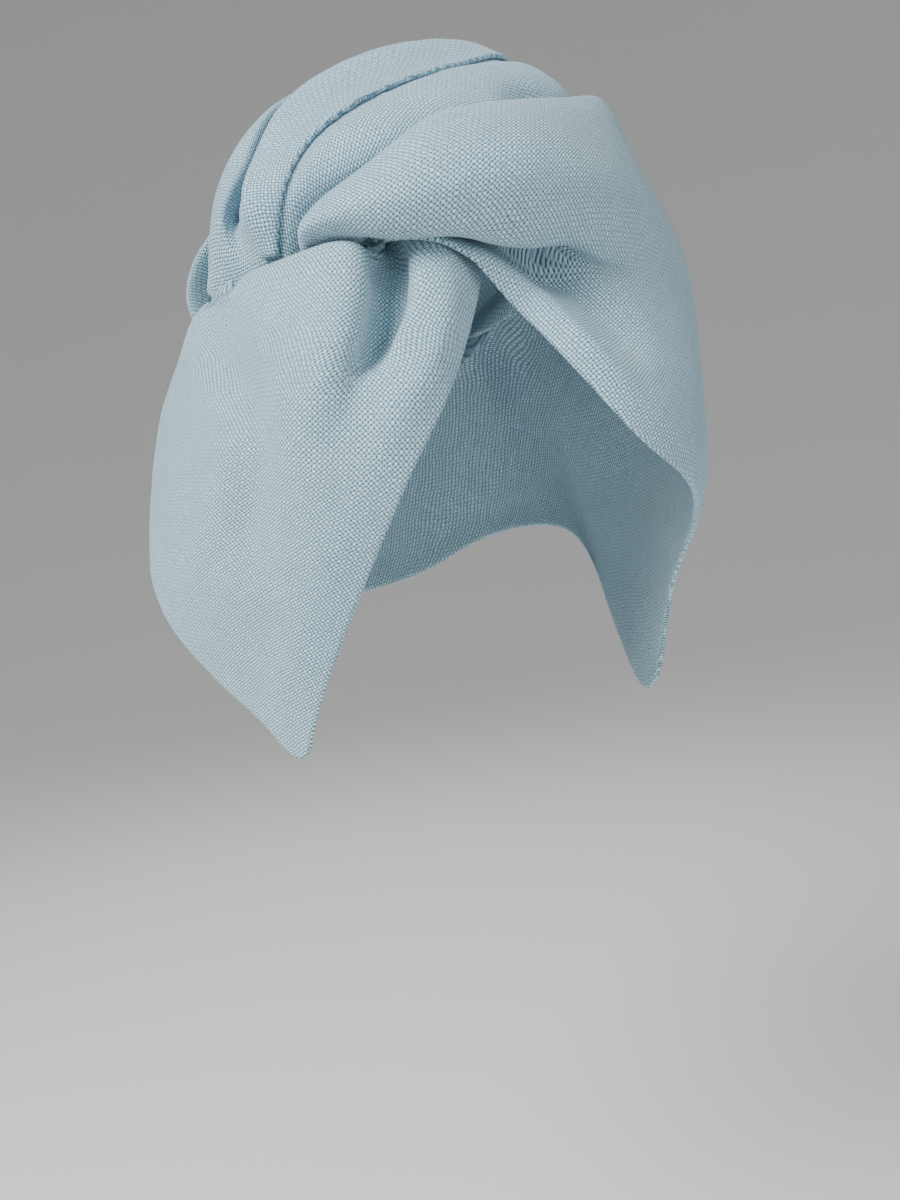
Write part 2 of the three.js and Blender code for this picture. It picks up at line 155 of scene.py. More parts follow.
CROWN_TAIL = {
    "under": [[-60, -24, 108], [-62, -28, 121], [-60, -39, 134], [-42.5, -48, 142.5],
        [-21.5, -51.5, 151.5], [14.5, -45.5, 154.5], [40, -31, 161], [69.5, -4, 149],
        [67.5, 50, 119.5], [54.6, 90.4, 102.6], [13, 125, 38]],
    "dimple": [[-65, -26, 108], [-67.5, -31, 124], [-65.5, -42, 140], [-52.9, -57.6, 149.8],
        [-25.8, -62, 162.2], [12.5, -56.9, 170.3], [44.6, -40.5, 176.7], [73, -3.9, 164.3],
        [76.7, 43.8, 138], [59.3, 88.9, 104.8], [12, 126, 36]],
    "belly": [[-68, -26, 108], [-72, -31, 126], [-72, -41, 143], [-61, -49, 159], [-33, -49, 175],
        [8, -40, 190], [53, -20, 195], [74, 16, 166], [74, 54, 138], [52, 102, 100], [10, 127, 35]],
    "lip": [[-69, -24, 108], [-74, -29, 127], [-75, -37, 143], [-67, -38.5, 157],
        [-41.2, -34, 175.5], [5.6, -22, 195], [43.6, -7, 205], [70, 36, 172], [64, 74, 138],
        [42, 111, 93], [8, 127, 34]],
    "band": [[-70, -20, 108], [-75.5, -22, 128], [-82, -26, 143], [-74, -22.5, 158],
        [-53.2, -15, 182.5], [-3.4, -8, 206], [38.6, 0, 209], [64, 44, 178], [56, 84, 140],
        [36, 115, 92], [6, 127.5, 34]],
    "pocket": [[-71, -14, 108], [-77, -14, 127], [-76, -6, 142.5], [-54, 6, 155],
        [-35.2, 11, 176.5], [-4.4, 4, 200], [33.6, 18, 202], [54, 56, 174], [46, 90, 138],
        [30, 116, 91], [4, 127.5, 34]],
    "flank": [[-72, -6, 108], [-79, -5, 126], [-82, -8, 144], [-72.5, -9, 161], [-52.2, 1, 185.5],
        [-7.4, 12, 204], [29.6, 29, 202], [49, 64, 174], [41, 95, 138], [26, 118, 90],
        [3, 127.7, 34]],
    "outer": [[-76, 4, 108], [-81, 9, 125], [-82, 1, 144], [-74, 2, 163], [-50.2, 10, 186.5],
        [-10.4, 20, 203], [25.6, 40, 200], [44, 72, 174], [37, 100, 136], [23, 120, 88],
        [2, 128, 34]],
    "gap": [[-71, 12, 106], [-57, 34, 119], [-54, 34, 136], [-60, 16, 158], [-46, 24, 179],
        [-16, 40, 191], [12, 60, 184], [26, 87, 158], [22, 106, 124], [12, 120, 84],
        [-1, 127.5, 34]],
    "strip": [[-74, 27, 104], [-81, 30.4, 125], [-76.2, 30, 140], [-58, 34, 160], [-43, 50, 172],
        [-24, 72, 174], [-5, 92, 160], [6, 108, 134], [8, 118, 106], [4, 124, 76], [-4, 128, 34]],
    "fall": [[-70, 34, 102], [-74, 41, 116], [-71, 46, 130], [-60, 60, 139], [-50, 78, 138],
        [-40, 95, 129], [-28, 108, 114], [-17, 118, 96], [-9, 123, 78], [-6, 127, 58],
        [-8, 128, 35]],
    "rear": [[-67, 41, 100], [-69.6, 48, 111.4], [-71.1, 60, 113.8], [-63.1, 75.2, 111.2],
        [-55.7, 88.5, 105.7], [-47.4, 100, 95.3], [-41.2, 108.2, 81.2], [-31.6, 114.2, 68.1],
        [-22.4, 118, 57.1], [-18, 120.6, 45.8], [-13.7, 124.4, 37.3]],
}

# The left cloth's rim where it is tucked away under the roll: edge, rim, valley, panel.
HIDDEN_RIM = {
    "tuck": [[-59, -41, 112], [-59.5, -40, 112.5], [-60, -39, 113], [-60.5, -38, 113.5]],
    "tip": [[-57, -50, 124], [-58, -48, 124], [-59.5, -46, 124], [-61.5, -43.5, 123.8]],
    "neck": [[-56, -57.5, 125], [-56.5, -56, 125], [-57, -55, 125], [-58.5, -53.5, 124.5]],
}

# Folds that are finer than the tables: a path of (station, column) places, the height at each,
# and the width on the side of lower and of higher stations. A station is a row's number in its
# table, and a column is a point's number in its row.
RIGHT_FOLDS = [
    # the pit beside the crossing, and the crest that stands over it
    ([(1.95, 7.3), (1.85, 6.4), (1.85, 5.8), (1.9, 5.4), (2.0, 5.0), (2.1, 4.6), (2.4, 4.1)],
     [-2, -8, -11, -10, -8, -5, 0], 2.8, 6.0),
    ([(1.45, 6.8), (1.45, 6.0), (1.45, 5.4), (1.6, 5.0), (1.75, 4.6)], [2, 3.5, 3.5, 3, 0], 7.0, 3.0),
    # the soft hollow down the side and the swells on both sides of it
    ([(4.6, 5.8), (4.4, 5.1), (3.9, 3.6), (3.1, 2.3), (2.6, 1.6)], [-1, -5, -6.5, -5, 0], 13.0, 10.0),
    ([(4.9, 4.0), (4.6, 2.4), (4.0, 1.0)], [1, 1.5, 1], 8.0, 8.0),
    ([(3.2, 6.0), (3.0, 4.8), (2.4, 3.6), (2.0, 2.5), (1.4, 1.4)], [1, 2.5, 2, 1.5, 0], 10.0, 10.0),
]
LEFT_FOLDS = [
    # the undercut below the roll, and the swell along the face edge
    ([(4.9, 3.6), (5.2, 3.2), (5.5, 3.0), (6.0, 2.7), (6.5, 2.2), (6.9, 1.7)],
     [-5, -8, -8, -6, -3, 0], 7.0, 7.0),
    ([(4.4, 1.0), (5.2, 1.0), (6.0, 1.0), (6.8, 1.0)], [1, 1.5, 1.5, 0], 5.0, 5.0),
]
TAIL_FOLDS = [
    # the front edge, which hooks under the twist's hidden rim
    ([(0, 3.2), (0, 3.8), (0, 5.0), (0, 5.8), (0, 6.4), (0, 7.2), (0, 7.9), (0, 8.3)],
     [0, 5, 6.5, 8.5, 7, 8.5, 4, 0], 3.0, 3.0),
    # the groove along the lip, the swell where the outer fold starts, and the dimple's depth
    ([(2.7, 0.5), (2.7, 1.5), (2.7, 3.0), (2.7, 4.5), (2.7, 6.5)], [-0.5, -1, -1, -1, -0.5], 5.0, 3.0),
    ([(6.6, 0.9), (7.4, 0.95), (8.2, 0.9)], [0, 3, 1], 5.0, 5.0),
    ([(1.3, 4.6), (1.15, 5.2), (1.0, 6.0)], [0, -6, 0], 8.0, 8.0),
]

# ---------------------------------------------------------------- surfaces

def spline(points, places):
    """Centripetal Catmull-Rom curve through points, at real-numbered places along axis 0."""
    p = np.asarray(points, float)
    p = np.concatenate([(2 * p[0] - p[1])[None], p, (2 * p[-1] - p[-2])[None]])
    places = np.asarray(places, float)
    span = np.clip(np.floor(places).astype(int), 0, len(p) - 4)
    t = (places - span).reshape([-1] + [1] * (p.ndim - 1))
    a, b, c, d = p[span], p[span + 1], p[span + 2], p[span + 3]

    def knot(u, v):
        return np.maximum(np.sum((v - u) ** 2, -1, keepdims=True) ** 0.25, 1e-4)

    ab, bc, cd = knot(a, b), knot(b, c), knot(c, d)
    leave = ((b - a) / ab - (c - a) / (ab + bc) + (c - b) / bc) * bc
    arrive = ((c - b) / bc - (d - b) / (bc + cd) + (d - c) / cd) * bc
    return ((2 * t**3 - 3 * t**2 + 1) * b + (t**3 - 2 * t**2 + t) * leave
            + (-2 * t**3 + 3 * t**2) * c + (t**3 - t**2) * arrive)


def surface(rows, stations, columns):
    """The sheet through a table's rows, sampled at real-numbered stations and columns."""
    grid = spline(np.array(list(rows), float), stations)
    return spline(grid.swapaxes(0, 1), columns).swapaxes(0, 1)


def fractions(spans, per_span, near=(0.02, 0.06, 0.12, 0.2, 0.32)):
    """Evenly spaced places along a number of spans, with closer ones at both ends."""
    inner = np.arange(1, spans * per_span) / per_span
    inner = inner[(inner > near[-1] + 0.05) & (inner < spans - near[-1] - 0.05)]
    ends = np.array(near)
    return np.concatenate([[0.0], ends, inner, spans - ends[::-1], [float(spans)]])


def normals(grid):
    """Unit normals at each point of a grid."""
    along = np.gradient(grid, axis=0)
    across = np.gradient(grid, axis=1)
    n = np.cross(along, across)
    return n / np.maximum(np.linalg.norm(n, axis=-1, keepdims=True), 1e-9)


def flattened(rows, stations, columns, rounds, even, middle, settled=99):
    """Coordinates of the cloth laid flat, in millimetres, so that the weave keeps its size.
    A coarse sheet starts from its lengths, measured from the middle (station, column), with each
    row's own length made more like the mean row's by the share even. It then settles until its
    neighbours lie as far apart as they do on the curved sheet. Past the settled column the rows
    run straight on, in directions that are evened out from row to row. The result is sampled at
    the stations and columns."""
    per_span, evenings, relax = 2, 8, 0.25
    spans = [len(rows) - 1, len(rows[0]) - 1]
    coarse = [np.arange(n * per_span + 1) / per_span for n in spans]
    g = surface(rows, *coarse)
    down = np.linalg.norm(np.diff(g, axis=0), axis=-1)
    across = np.linalg.norm(np.diff(g, axis=1), axis=-1)
    count, width = g.shape[:2]
    flat = np.zeros((count, width, 2))
    flat[1:, :, 0] = np.cumsum(down, axis=0)
    flat[:, 1:, 1] = np.cumsum(across, axis=1)
    flat[..., 0] -= flat[middle[0] * per_span, :, 0]
    flat[..., 1] -= flat[:, middle[1] * per_span, 1][:, None]
    flat[..., 1] += even * (flat[..., 1].mean(axis=0) - flat[..., 1])
    rest = []
    for i, j, weight in ((1, 0, 1.0), (0, 1, 1.0), (1, 1, 0.5), (1, -1, 0.5), (2, 0, 0.4), (0, 2, 0.4)):
        a = (slice(0, count - i), slice(max(0, -j), width - max(0, j)))
        b = (slice(i, count), slice(max(0, j), width - max(0, -j)))
        rest.append((a, b, np.linalg.norm(g[b] - g[a], axis=-1), weight))
    for _ in range(rounds):
        for a, b, length, weight in rest:
            gap = flat[b] - flat[a]
            now = np.maximum(np.linalg.norm(gap, axis=-1), 1e-6)
            move = gap * (relax * weight * (now - length) / now)[..., None]
            flat[a] += move
            flat[b] -= move
    for j in range(min(settled * per_span, width - 1) + 1, width):
        way = flat[:, j - 1] - flat[:, j - 2]
        for _ in range(evenings):
            way[1:-1] = (way[:-2] + 2 * way[1:-1] + way[2:]) / 4
        way /= np.linalg.norm(way, axis=-1, keepdims=True)
        flat[:, j] = flat[:, j - 1] + way * across[:, j - 1][:, None]
    return surface(flat, stations * per_span, columns * per_span)


def summed(steps):
    """Lengths along axis 0, from the steps between its points."""
    return np.concatenate([np.zeros_like(steps[:1]), np.cumsum(steps, axis=0)])


def lengths_down(grid):
    return summed(np.linalg.norm(np.diff(grid, axis=0), axis=-1))


def lengths_across(grid):
    return summed(np.linalg.norm(np.diff(grid, axis=1), axis=-1).T).T


def lengthened(flat, plain_grid, folded_grid, middle):
    """Flat coordinates with room for the cloth that the folds take up along the stations,
    measured from the index middle."""
    more = lengths_down(folded_grid) - lengths_down(plain_grid)
    flat = flat.copy()
    flat[..., 0] += more - more[middle]
    return flat


def fold(rows, grid, side, path, lift, before, after):
    """Raises (or with a negative lift sinks) the cloth along a path of (station, column) places.
    lift has a height for each place. before and after are the widths, in millimetres, on the
    side of lower and of higher stations."""
    per_place, step = 12, 0.1
    places = spline(path, np.linspace(0, len(path) - 1, per_place * len(path)))
    heights = np.interp(np.linspace(0, len(path) - 1, len(places)), range(len(path)), lift)
    line = np.array([surface(rows, [a], [b])[0, 0] for a, b in places])
    ahead = np.array([surface(rows, [min(a + step, len(rows) - 1)], [b])[0, 0] for a, b in places])
    way = ahead - line
    points = grid.reshape(-1, 3)
    gap = points[:, None, :] - line[None]
    distance = np.linalg.norm(gap, axis=-1)
    nearest = distance.argmin(axis=1)
    pick = np.arange(len(points))
    d = distance[pick, nearest]
    later = np.sum(gap[pick, nearest] * way[nearest], axis=-1) > 0
    width = np.where(later, after, before)
    rise = heights[nearest] * np.exp(-(d / width) ** 2)
    return grid + normals(grid) * side * rise.reshape(grid.shape[:2])[..., None]


def folded(rows, grid, side, folds):
    for path, lift, before, after in folds:
        grid = fold(rows, grid, side, path, lift, before, after)
    return grid


def ripples(grid, size, seed):
    """Smooth noise, from about -1 to 1, for each point of a grid."""
    seed_step = 17.3
    at = grid.reshape(-1, 3) / size + seed * seed_step
    return np.array([noise.noise(Vector(tuple(p))) for p in at]).reshape(grid.shape[:2])


def border_distance(grid):
    """How far each grid point is from the nearest border, down and across the sheet."""
    down, across = lengths_down(grid), lengths_across(grid)
    return np.minimum(down, down[-1] - down), np.minimum(across, across[:, -1:] - across)


def rounded(grid, flat, corners):
    """Rounds corners of a sheet. Each is (at the last row, at the last column, radius). The
    grid and its flat coordinates are sampled again, as a square is mapped onto a disc."""
    rows, cols = grid.shape[:2]
    row, col = np.mgrid[:rows, :cols].astype(float)
    for last_row, last_col, radius in corners:
        turn = (slice(None, None, -1 if last_row else 1), slice(None, None, -1 if last_col else 1))
        g = grid[turn]
        down, across = lengths_down(g), lengths_across(g)
        for i, j in np.argwhere((down < radius) & (across < radius)):
            u, v = 1 - down[i, j] / radius, 1 - across[i, j] / radius
            new_down = radius * (1 - u * math.sqrt(1 - v * v / 2))
            new_across = radius * (1 - v * math.sqrt(1 - u * u / 2))
            new_i = np.interp(new_down, down[:, j], np.arange(rows))
            new_j = np.interp(new_across, across[i], np.arange(cols))
            a, b = (rows - 1 - i if last_row else i), (cols - 1 - j if last_col else j)
            row[a, b] = rows - 1 - new_i if last_row else new_i
            col[a, b] = cols - 1 - new_j if last_col else new_j
    i, j = np.clip(row.astype(int), 0, rows - 2), np.clip(col.astype(int), 0, cols - 2)
    s, t = (row - i)[..., None], (col - j)[..., None]

    def sampled(x):
        return ((1 - s) * (1 - t) * x[i, j] + s * (1 - t) * x[i + 1, j]
                + (1 - s) * t * x[i, j + 1] + s * t * x[i + 1, j + 1])

    return sampled(grid), sampled(flat)


def cloth(name, grid, flat, side, thickness=2.4, roundness=1.6, sink=1.0, turn=0.0, shift=(0.0, 0.0)):
    """A closed doubled sheet with rounded edges. Its middle lies sink millimetres inside the
    grid. The UV map 'cloth' holds where each point lies when the cloth is flat, in decimetres,
    turned by an angle in degrees."""
    n = normals(grid) * side
    down, across = border_distance(grid)

    def rise(distance):
        s = np.clip(distance / roundness, 0, 1)
        return np.sqrt(np.maximum(1 - (1 - s) ** 2, 0))

    half = (thickness / 2 * rise(down) * rise(across))[..., None]
    middle = grid - n * sink
    rows, cols = grid.shape[:2]
    points = np.concatenate([(middle + n * half).reshape(-1, 3), (middle - n * half).reshape(-1, 3)])
    at = np.arange(rows * cols).reshape(rows, cols)
    border = np.zeros((rows, cols), bool)
    border[0], border[-1], border[:, 0], border[:, -1] = True, True, True, True
    other = np.where(border, at, at + rows * cols)   # both faces share the border's points
    faces = []
    for where, outer in ((at, side > 0), (other, side < 0)):
        quad = np.stack([where[:-1, :-1], where[1:, :-1], where[1:, 1:], where[:-1, 1:]], -1)
        quad = quad.reshape(-1, 4)
        faces.append(quad if outer else quad[:, ::-1])
    faces = np.concatenate(faces)
    used = np.unique(faces)
    renumber = np.zeros(len(points), int)
    renumber[used] = np.arange(len(used))
    mesh = bpy.data.meshes.new(name)
    mesh.from_pydata(placed(points[used]).tolist(), [], renumber[faces].tolist())
    flat = flat.reshape(-1, 2)
    a = math.radians(turn)
    spin = np.array([[math.cos(a), -math.sin(a)], [math.sin(a), math.cos(a)]])
    flat = (flat @ spin + np.array(shift)) / FLAT_UNIT
    uv = mesh.uv_layers.new(name="cloth")
    corners = np.zeros(len(mesh.loops), int)
    mesh.loops.foreach_get("vertex_index", corners)
    uv.data.foreach_set("uv", flat[used[corners] % (rows * cols)].ravel())
    mesh.shade_smooth()
    mesh.update()
    piece = bpy.data.objects.new(name, mesh)
    scene.collection.objects.link(piece)
    return piece


# ---------------------------------------------------------------- materials

YARN = 1.1             # millimetres from one yarn to the next
STRAND = 2.6           # millimetres from one strand of the loop's braid to the next
WARP_COLOUR = (0.485, 0.70, 0.81, 1)
WEFT_COLOUR = (0.345, 0.535, 0.64, 1)
# painted shade: the colour that the gaps and crossings between yarns darken towards
SHADOW_COLOUR = (0.075, 0.14, 0.19, 1)


class Nodes:
    """Short hand for building a material's nodes."""

    def __init__(self, name):
        self.material = bpy.data.materials.new(name)
        self.material.use_nodes = True
        self.tree = self.material.node_tree
        self.tree.nodes.clear()

    def add(self, kind, inputs=None, **settings):
        node = self.tree.nodes.new(kind)
        for key, value in settings.items():
            setattr(node, key, value)
        for key, value in (inputs or {}).items():
            socket = node.inputs[key]
            if isinstance(value, bpy.types.NodeSocket):
                self.tree.links.new(value, socket)
            else:
                socket.default_value = value
        return node

    def math(self, operation, a, b=0.0, c=0.0, clamp=False):
        return self.add("ShaderNodeMath", {0: a, 1: b, 2: c}, operation=operation,
                        use_clamp=clamp).outputs[0]

    def noise(self, vector, scale, detail=2.0, roughness=0.5):
        return self.add("ShaderNodeTexNoise", {"Vector": vector, "Scale": scale, "Detail": detail,
                                               "Roughness": roughness}).outputs["Fac"]

    def vector(self, x, y, z=0.0):
        return self.add("ShaderNodeCombineXYZ", {0: x, 1: y, 2: z}).outputs[0]

    def ramp(self, value, low, high, to_low=0.0, to_high=1.0):
        return self.add("ShaderNodeMapRange", {"Value": value, "From Min": low, "From Max": high,
                                               "To Min": to_low, "To Max": to_high}).outputs[0]

    def blend(self, factor, a, b, how="MIX"):
        return self.add("ShaderNodeMix", {0: factor, 6: a, 7: b}, data_type="RGBA",
                        blend_type=how).outputs[2]

    def finish(self, shader):
        out = self.tree.nodes.new("ShaderNodeOutputMaterial")
        self.tree.links.new(shader.outputs[0], out.inputs[0])
        return self.material


def linen():
    """Plain weave linen: each yarn goes over one and under the next, with slubs, uneven dye, painted
    shade in the gaps between the yarns and a soft fuzz. Reads the UV map 'cloth'."""
    m = Nodes("linen")
    flat = m.add("ShaderNodeUVMap", uv_map="cloth").outputs[0]
    place = m.add("ShaderNodeTexCoord").outputs["Object"]

    def drift(scale, amount):
        cloud = m.add("ShaderNodeTexNoise", {"Vector": place, "Scale": scale, "Detail": 1.0})
        centred = m.add("ShaderNodeVectorMath", {0: cloud.outputs["Color"], 1: (0.5, 0.5, 0.5)},
                        operation="SUBTRACT").outputs[0]
        return m.add("ShaderNodeVectorMath", {0: centred, "Scale": amount},
                     operation="SCALE").outputs[0]

    def plus(a, b):
        return m.add("ShaderNodeVectorMath", {0: a, 1: b}, operation="ADD").outputs[0]

    yarns = m.add("ShaderNodeVectorMath", {0: flat, "Scale": FLAT_UNIT / YARN},
                  operation="SCALE").outputs[0]
    yarns = plus(plus(yarns, drift(60.0, 1.6)), drift(420.0, 0.7))
    split = m.add("ShaderNodeSeparateXYZ", {0: yarns})
    u, v = split.outputs[0], split.outputs[1]
    wave_u = m.math("SINE", m.math("MULTIPLY", u, math.pi))
    wave_v = m.math("SINE", m.math("MULTIPLY", v, math.pi))
    warp_over = m.ramp(m.math("MULTIPLY", wave_u, wave_v), -0.1, 0.1)
    up_u, up_v = m.math("ABSOLUTE", wave_u), m.math("ABSOLUTE", wave_v)
    warp = m.math("MULTIPLY", m.math("POWER", up_u, 0.8), m.math("POWER", up_v, 0.45))
    weft = m.math("MULTIPLY", m.math("POWER", up_u, 0.45), m.math("POWER", up_v, 0.8))
    # Slubs and tone run along each yarn.
    along_warp = m.vector(m.math("MULTIPLY", u, 0.9), m.math("MULTIPLY", v, 0.07))
    along_weft = m.vector(m.math("MULTIPLY", u, 0.07), m.math("MULTIPLY", v, 0.9), 7.0)
    warp_tone, weft_tone = m.noise(along_warp, 1.0, 2.0), m.noise(along_weft, 1.0, 2.0)

    def pick(a, b):
        return m.add("ShaderNodeMix", {0: warp_over, 2: a, 3: b}, data_type="FLOAT").outputs[0]

    height, tone = pick(weft, warp), pick(weft_tone, warp_tone)
    # Painted shade: the colour goes dark where yarns cross and where a yarn dips under the next.
    corner = m.math("MULTIPLY", m.math("SUBTRACT", 1.0, up_u), m.math("SUBTRACT", 1.0, up_v))
    low = m.math("POWER", m.math("SUBTRACT", 1.0, height), 2.0)
    shadow = m.math("ADD", m.math("MULTIPLY", corner, 1.7), m.math("MULTIPLY", low, 0.6), clamp=True)
    fibre = m.noise(yarns, 2.6, 2.0, 0.7)
    colour = m.blend(warp_over, WEFT_COLOUR, WARP_COLOUR)
    strength = m.math("MULTIPLY_ADD", m.math("SUBTRACT", tone, 0.5), 0.9, 1.0)
    strength = m.math("MULTIPLY", strength, m.ramp(fibre, 0.25, 0.75, 0.84, 1.16))
    colour = m.blend(1.0, colour, m.vector(strength, strength, strength), "MULTIPLY")
    colour = m.blend(shadow, colour, SHADOW_COLOUR)
    dye = m.ramp(m.noise(place, 9.0, 2.0), 0.3, 0.7)
    colour = m.blend(1.0, colour, m.blend(dye, (0.97, 1.0, 1.03, 1), (1.03, 1.01, 0.97, 1)), "MULTIPLY")
    relief = m.math("MULTIPLY", height, m.math("MULTIPLY_ADD", tone, 0.7, 0.65))
    bump = m.add("ShaderNodeBump", {"Height": relief, "Strength": 0.85, "Distance": 0.0004})
    return m.finish(m.add("ShaderNodeBsdfPrincipled", {
        "Base Color": colour, "Normal": bump.outputs[0], "Roughness": 0.9,
        "Specular IOR Level": 0.2, "Sheen Weight": 0.3, "Sheen Roughness": 0.4,
        "Sheen Tint": (0.8, 0.92, 1.0, 1)}))


def wood():
    """Oiled wood whose grain runs up the button's face."""
    m = Nodes("button_wood")
    place = m.add("ShaderNodeTexCoord").outputs["Object"]
    stretch = m.add("ShaderNodeMapping", {"Vector": place, "Rotation": (0.1, 0.0, 0.5),
                                          "Scale": (900.0, 60.0, 120.0)}).outputs[0]
    grain = m.noise(stretch, 1.0, 5.0, 0.6)
    pores = m.ramp(m.noise(stretch, 3.0, 2.0), 0.6, 0.7)
    colour = m.blend(m.ramp(grain, 0.3, 0.7), (0.30, 0.155, 0.065, 1), (0.56, 0.35, 0.18, 1))
    colour = m.blend(m.math("MULTIPLY", pores, 0.5), colour, (0.16, 0.075, 0.03, 1))
    bump = m.add("ShaderNodeBump", {"Height": grain, "Strength": 0.25, "Distance": 0.0003})
    shine = m.ramp(grain, 0.2, 0.8, 0.5, 0.36)
    return m.finish(m.add("ShaderNodeBsdfPrincipled", {
        "Base Color": colour, "Roughness": shine, "Normal": bump.outputs[0], "Coat Weight": 0.15,
        "Coat Roughness": 0.3}))


def elastic():
    """Braid of two crossing sets of strands. Reads the UV map 'cloth', whose second coordinate
    goes once round the cord."""
    m = Nodes("loop_braid")
    flat = m.add("ShaderNodeUVMap", uv_map="cloth").outputs[0]
    split = m.add("ShaderNodeSeparateXYZ", {0: flat})
    strands = 4
    along = m.math("MULTIPLY", split.outputs[0], FLAT_UNIT * 2 * math.pi / STRAND)
    about = m.math("MULTIPLY", split.outputs[1], strands * 2 * math.pi)
    left = m.math("SINE", m.math("ADD", along, about))
    right = m.math("SINE", m.math("SUBTRACT", along, about))
    braid = m.math("MAXIMUM", left, right)
    # Painted shade: the braid is coloured darker where its relief is low, between the strands.
    colour = m.blend(m.ramp(braid, -0.4, 0.9), (0.09, 0.14, 0.175, 1), (0.33, 0.45, 0.5, 1))
    bump = m.add("ShaderNodeBump", {"Height": braid, "Strength": 0.7, "Distance": 0.00025})
    return m.finish(m.add("ShaderNodeBsdfPrincipled", {
        "Base Color": colour, "Roughness": 0.7, "Normal": bump.outputs[0], "Sheen Weight": 0.2}))


def plain(name, colour, roughness):
    m = Nodes(name)
    return m.finish(m.add("ShaderNodeBsdfPrincipled", {"Base Color": colour, "Roughness": roughness}))


LINEN = linen()

# ---------------------------------------------------------------- cloth pieces

WELT_START, WELT_WIDTH = 2.85, 1.1   # in stations of the tail
TAIL_TO_WELT = 2.4                   # millimetres from the tail's grid out to the welt's


def add_piece(piece, nodes, material):
    piece.data.materials.append(material)
    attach(piece, "root")
    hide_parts(*nodes)
    return piece


def wrinkled(grid, side, seed):
    """Small unevenness of a soft cloth, along its normals: fine ripples and broad ones."""
    lift = ripples(grid, 14.0, seed) * 0.22 + ripples(grid, 42.0, seed + 5) * 0.5
    return grid + normals(grid) * side * lift[..., None]


def hood_right():
    rows = list(HOOD_RIGHT.values())
    places = fractions(8, 16), fractions(8, 16)
    plain_grid = surface(rows, *places)
    grid = folded(rows, plain_grid, INWARD, RIGHT_FOLDS)
    flat = flattened(rows, *places, rounds=20, even=0.5, middle=(4, 4))
    flat = lengthened(flat, plain_grid, grid, int(np.searchsorted(places[0], 2)))
    grid, flat = rounded(wrinkled(grid, INWARD, seed=1), flat, [(False, False, 9.0)])
    piece = cloth("right_hood", grid, flat, INWARD, turn=38.0)
    return add_piece(piece, ["hood_right"], LINEN)


def left_cloth():
    """The hood's left side and the twist, which are one cloth: each row goes from the face edge
    over the side, or from the hidden rim, into the twist."""
    rows = []
    for name, twist in FRONT_TWIST.items():
        rows.append((HOOD_LEFT[name][:4] if name in HOOD_LEFT else HIDDEN_RIM[name]) + twist)
    places = fractions(15, 12), fractions(10, 14)
    grid = folded(rows, surface(rows, *places), OUTWARD, LEFT_FOLDS)
    flat = flattened(rows, *places, rounds=60, even=0.2, middle=(7, 5), settled=6)
    grid = wrinkled(grid, OUTWARD, seed=2)
    piece = cloth("left_hood_and_twist", grid, flat, OUTWARD, turn=50.0, shift=(3.1, 4.7))
    return add_piece(piece, ["hood_left", "front_twist"], LINEN)


def tail_grid(stations, columns):
    """A stretch of the tail, with its flat coordinates."""
    rows = list(CROWN_TAIL.values())
    grid = folded(rows, surface(rows, stations, columns), INWARD, TAIL_FOLDS)
    grid = wrinkled(grid, INWARD, seed=3)
    return grid, flattened(rows, stations, columns, rounds=0, even=1.0, middle=(4, 4))


def tail():
    grid, flat = tail_grid(fractions(11, 16), fractions(10, 14))
    grid, flat = rounded(grid, flat, [(False, True, 6.0), (True, True, 6.0)])
    piece = cloth("crown_tail_cloth", grid, flat, INWARD, turn=4.0, shift=(7.3, 1.9))
    return add_piece(piece, ["crown_tail"], LINEN)


def welt():
    """The seam allowance that lies on the tail between its lip and its band."""
    grid, flat = tail_grid(WELT_START + fractions(1, 14) * WELT_WIDTH, 1 + fractions(8, 14))
    grid = grid + INWARD * normals(grid) * TAIL_TO_WELT
    piece = cloth("tail_seam_welt", grid, flat, INWARD, thickness=2.2, roundness=1.2, turn=4.0,
                  shift=(1.0, 2.0))
    return add_piece(piece, ["tail_welt"], LINEN)


right = hood_right()
left = left_cloth()
crown = tail()
seam_welt = welt()

# ---------------------------------------------------------------- button and loop

NAPE_FACE = 121.1      # how far back the hood's outer face is where the button is sewn on
BUTTON_Z = 20.0        # height of the button's middle

# Radius and height of the turned button, from its sewn foot to the middle of its face.
BUTTON_PROFILE = [(0, 0.3), (1.6, 0.3), (2.2, 0.4), (2.4, 0.7), (2.15, 0.95), (2.4, 1.2), (2.15, 1.45),
                  (2.4, 1.7), (2.15, 1.95), (2.4, 2.2), (2.15, 2.45), (2.4, 2.75), (3.0, 3.0),
                  (6.0, 3.0), (8.6, 3.05), (9.5, 3.35), (9.9, 3.9), (10, 4.6), (9.9, 5.4),
                  (9.55, 6.1), (9.0, 6.5), (8.3, 6.6), (7.75, 6.4), (7.45, 6.05), (7.2, 5.8),
                  (6.9, 5.85), (6.5, 6.05), (5.4, 5.95), (4.0, 5.8), (3.0, 5.7), (2.75, 5.5),
                  (2.5, 5.5), (2.2, 5.66), (1.2, 5.72), (0, 5.74)]


